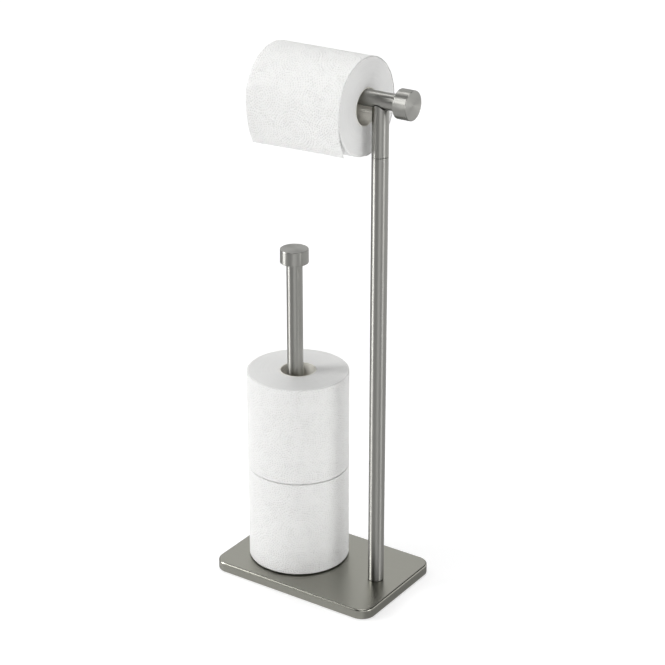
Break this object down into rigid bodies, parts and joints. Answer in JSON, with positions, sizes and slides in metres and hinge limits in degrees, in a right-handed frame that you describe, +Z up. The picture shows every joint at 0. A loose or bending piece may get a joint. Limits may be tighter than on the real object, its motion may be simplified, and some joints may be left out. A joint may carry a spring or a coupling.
{
  "type": "freestanding toilet paper holder",
  "caption": "Freestanding toilet paper holder: weighted rounded base, tall post with a knobbed T-arm, and a short post for spare rolls, shown loaded.",
  "frame": {"origin": "centre of the underside of the base pad, on the floor", "axes": "+Z up; +X along the arm towards the near knob, beside the tall post; -Y is the front, where the loose sheet hangs"},
  "size_m": [0.232, 0.1484, 0.6566],
  "materials": {
    "satin_nickel": "satin",
    "plated_steel": "satin",
    "bare_iron": "matte",
    "black_foam": "matte",
    "tissue": "matte",
    "card": "matte"
  },
  "bodies": {
    "stand": {"base_cover": "satin_nickel", "base_weight": "bare_iron", "base_pad": "black_foam", "main_post_washer": "plated_steel", "main_post_screw": "plated_steel", "main_post_foot_plug": "plated_steel", "main_post_lower_tube": "satin_nickel", "main_post_lower_joint_plug": "plated_steel", "main_post_joint_stud": "plated_steel", "main_post_upper_joint_plug": "plated_steel", "main_post_upper_tube": "satin_nickel", "main_post_head_plug": "plated_steel", "arm_bolt_washer": "plated_steel", "arm_bolt": "plated_steel", "arm_nut": "plated_steel", "arm_tube": "satin_nickel", "near_knob_plug": "plated_steel", "near_knob_stud": "plated_steel", "near_knob": "satin_nickel", "far_knob_plug": "plated_steel", "far_knob_stud": "plated_steel", "far_knob": "satin_nickel", "reserve_post_washer": "plated_steel", "reserve_post_screw": "plated_steel", "reserve_post_foot_plug": "plated_steel", "reserve_post_tube": "satin_nickel", "reserve_knob_plug": "plated_steel", "reserve_knob_stud": "plated_steel", "reserve_knob": "satin_nickel"},
    "top_roll": {"top_roll_core": "card", "top_roll_paper": "tissue"},
    "sheet": {"loose_sheet": "tissue"},
    "upper_spare": {"upper_spare_core": "card", "upper_spare_paper": "tissue"},
    "lower_spare": {"lower_spare_core": "card", "lower_spare_paper": "tissue"}
  },
  "joints": [
    {"name": "top_roll_spin", "type": "hinge", "parent": "stand", "child": "top_roll", "pos_m": [-0.0017, 0, 0.6003], "axis": [1, 0, 0], "continuous": true},
    {"name": "sheet_swing", "type": "hinge", "parent": "stand", "child": "sheet", "pos_m": [-0.0017, -0.0566, 0.6003], "axis": [-1, 0, 0], "range_deg": [0, 25]},
    {"name": "upper_spare_lift", "type": "slide", "parent": "stand", "child": "upper_spare", "axis": [0, 0, 1], "range_m": [0, 0.2786]},
    {"name": "lower_spare_turn", "type": "hinge", "parent": "stand", "child": "lower_spare", "pos_m": [-0.0369, 0.00288, 0.075], "axis": [0, 0, 1], "continuous": true}
  ]
}
